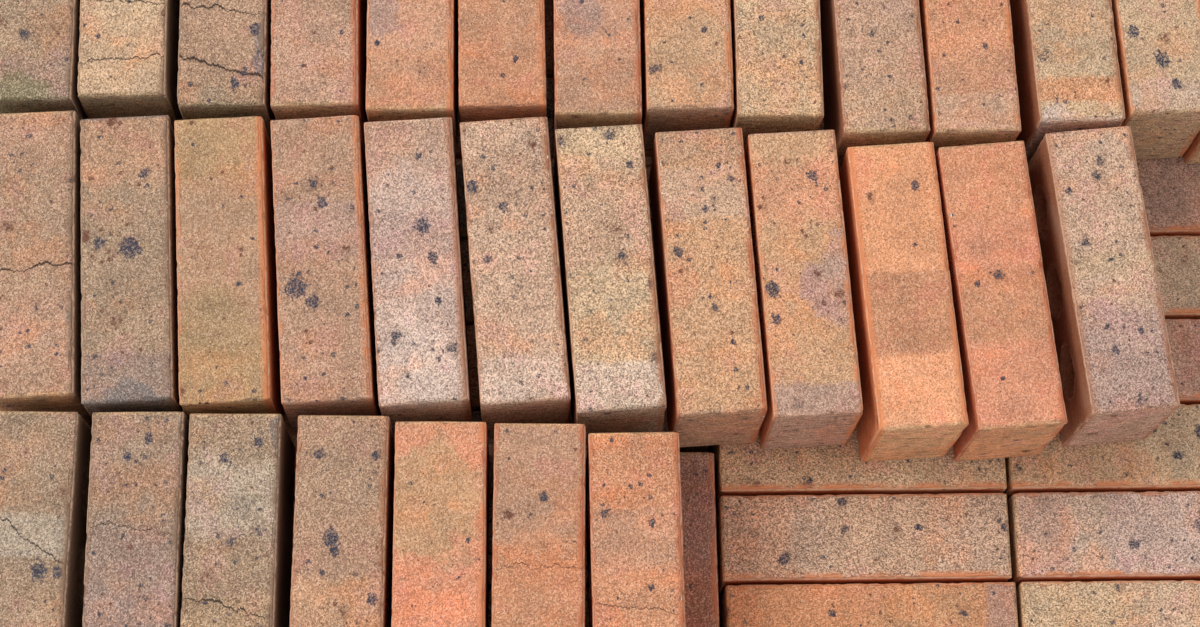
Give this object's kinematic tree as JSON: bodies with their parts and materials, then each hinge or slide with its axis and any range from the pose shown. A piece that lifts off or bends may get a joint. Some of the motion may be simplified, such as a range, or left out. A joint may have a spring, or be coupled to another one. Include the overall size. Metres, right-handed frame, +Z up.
{
  "type": "pallet of bricks",
  "caption": "Part-used stack of clay facing bricks standing on edge in crossed courses on a timber block pallet, with bricks taken from one corner of the top course.",
  "frame": {"origin": "middle of the pallet's footprint, on the floor", "axes": "+X along the pallet's length, +Y from its front to its back, +Z up"},
  "size_m": [1.02, 0.96, 0.554],
  "materials": {
    "pallet_timber": "rough sawn",
    "brick": "matte, sanded"
  },
  "bodies": {
    "root": {"base_board_1": "pallet_timber", "base_board_2": "pallet_timber", "base_board_3": "pallet_timber", "block_1": "pallet_timber", "block_2": "pallet_timber", "block_3": "pallet_timber", "block_4": "pallet_timber", "block_5": "pallet_timber", "block_6": "pallet_timber", "block_7": "pallet_timber", "block_8": "pallet_timber", "block_9": "pallet_timber", "stringer_board_1": "pallet_timber", "stringer_board_2": "pallet_timber", "stringer_board_3": "pallet_timber", "deck_board_1": "pallet_timber", "deck_board_2": "pallet_timber", "deck_board_3": "pallet_timber", "deck_board_4": "pallet_timber", "deck_board_5": "pallet_timber", "deck_board_6": "pallet_timber", "deck_board_7": "pallet_timber", "course_1": "brick", "course_2": "brick", "course_3": "brick", "course_4": "brick"}
  },
  "joints": []
}
